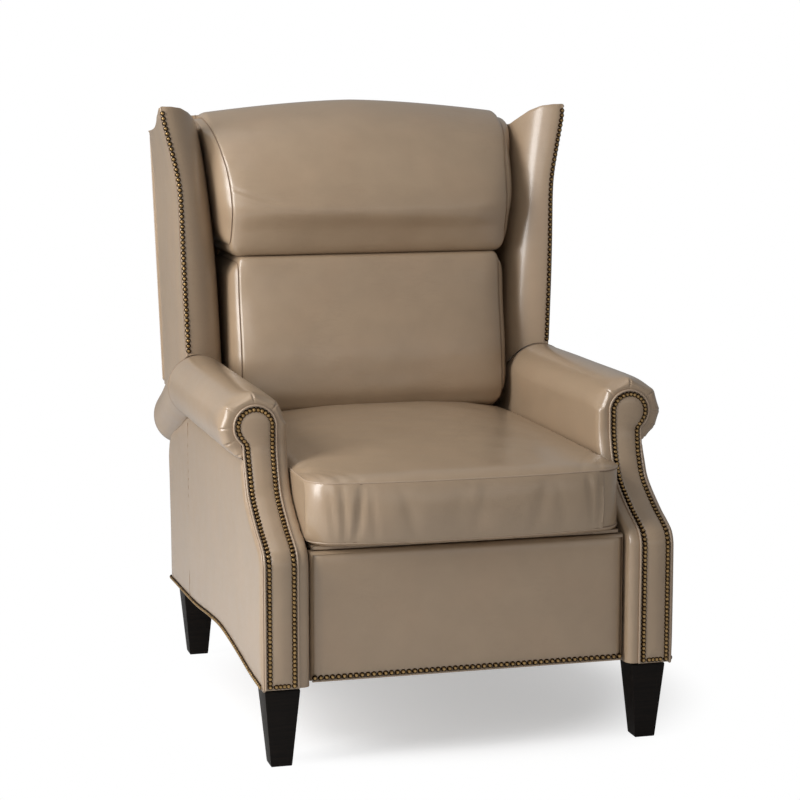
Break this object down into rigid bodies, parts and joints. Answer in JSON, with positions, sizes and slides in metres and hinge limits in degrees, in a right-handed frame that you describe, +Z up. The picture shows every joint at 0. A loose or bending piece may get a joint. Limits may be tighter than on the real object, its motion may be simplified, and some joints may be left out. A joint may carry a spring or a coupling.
{
  "type": "wingback recliner",
  "caption": "High-leg push-back recliner with a wing back, scroll arms, loose seat cushion, a back that leans as the seat glides forward, and a footrest on a parallel linkage.",
  "frame": {"origin": "on the floor under the middle of the overall box", "axes": "+Z up, -Y towards the front of the chair, +X towards the right as seen from the front"},
  "size_m": [0.832, 1.0024, 1.1341],
  "materials": {
    "leather": "semi-gloss taupe leather",
    "espresso_wood": "satin espresso stain",
    "frame_wood": "raw hardwood",
    "linkage_steel": "black enamel",
    "spring_steel": "oiled wire",
    "nylon": "natural nylon",
    "deck_cloth": "woven deck cloth",
    "nail_brass": "antique brass with dark rims"
  },
  "bodies": {
    "base": {"leg_front_left": "espresso_wood", "leg_front_right": "espresso_wood", "leg_rear_left": "espresso_wood", "leg_rear_right": "espresso_wood", "leg_plates": "linkage_steel", "leg_bolts": "linkage_steel", "corner_blocks": "frame_wood", "side_rail_left": "frame_wood", "side_rail_right": "frame_wood", "front_post_left": "frame_wood", "front_post_right": "frame_wood", "rear_post_left": "frame_wood", "rear_post_right": "frame_wood", "arm_rail_left": "frame_wood", "arm_rail_right": "frame_wood", "cross_rail": "frame_wood", "rear_rail": "frame_wood", "outer_side_left": "leather", "outer_side_right": "leather", "inner_arm_left": "leather", "inner_arm_right": "leather", "facing_left": "leather", "facing_right": "leather", "arm_roll_left": "leather", "arm_roll_right": "leather", "rear_arm_panels": "leather", "lower_back_panel": "leather", "glide_track_left": "linkage_steel", "glide_track_right": "linkage_steel"},
    "seat": {"side_plate_left": "linkage_steel", "side_plate_right": "linkage_steel", "cross_tube": "linkage_steel", "glide_shoes": "nylon", "shoe_bolts": "linkage_steel", "seat_front_rail": "frame_wood", "seat_rear_rail": "frame_wood", "seat_side_rails": "frame_wood", "seat_springs": "spring_steel", "seat_deck": "deck_cloth", "seat_cushion": "leather", "hinge_pins": "linkage_steel"},
    "back": {"back_brackets": "linkage_steel", "back_posts": "frame_wood", "back_rails": "frame_wood", "back_springs": "spring_steel", "wing_left": "leather", "wing_right": "leather", "upper_cushion": "leather", "lower_cushion": "leather", "outside_back": "leather"},
    "front_linkage": {"front_links": "linkage_steel", "link_tube": "linkage_steel"},
    "rear_linkage": {"rear_links": "linkage_steel"},
    "carrier": {"carrier_links": "linkage_steel"},
    "control": {"control_links": "linkage_steel"},
    "footrest": {"footrest_brackets": "linkage_steel", "footrest_board": "frame_wood", "footrest_pad": "leather"}
  },
  "joints": [
    {"name": "seat_glide", "type": "slide", "parent": "base", "child": "seat", "axis": [0, -1, 0], "range_m": [0, 0.0455]},
    {"name": "back_recline", "type": "hinge", "parent": "seat", "child": "back", "pos_m": [0, 0.36681, 0.3404], "axis": [-1, 0, 0], "range_deg": [0, 30]},
    {"name": "footrest_raise", "type": "hinge", "parent": "seat", "child": "front_linkage", "pos_m": [0, -0.32819, 0.3524], "axis": [1, 0, 0], "range_deg": [-94, 0]},
    {"name": "rear_link_swing", "type": "hinge", "parent": "seat", "child": "rear_linkage", "pos_m": [0, -0.38819, 0.3524], "axis": [1, 0, 0], "range_deg": [-94.5, 0.5]},
    {"name": "carrier_pivot", "type": "hinge", "parent": "front_linkage", "child": "carrier", "pos_m": [0, -0.24719, 0.1824], "axis": [1, 0, 0], "range_deg": [-0.5, 94.5]},
    {"name": "control_pivot", "type": "hinge", "parent": "front_linkage", "child": "control", "pos_m": [0, -0.22619, 0.2334], "axis": [1, 0, 0], "range_deg": [-0.5, 94.5]},
    {"name": "footrest_pivot", "type": "hinge", "parent": "carrier", "child": "footrest", "pos_m": [0, -0.40519, 0.2774], "axis": [1, 0, 0], "range_deg": [-94.5, 0.5]}
  ],
  "couplings": [
    {"joint": "seat_glide", "follows": "back_recline", "m_per_rad": 0.0859},
    {"joint": "rear_link_swing", "follows": "footrest_raise", "ratio": 1},
    {"joint": "carrier_pivot", "follows": "footrest_raise", "ratio": -1},
    {"joint": "control_pivot", "follows": "footrest_raise", "ratio": -1},
    {"joint": "footrest_pivot", "follows": "footrest_raise", "ratio": 1}
  ]
}
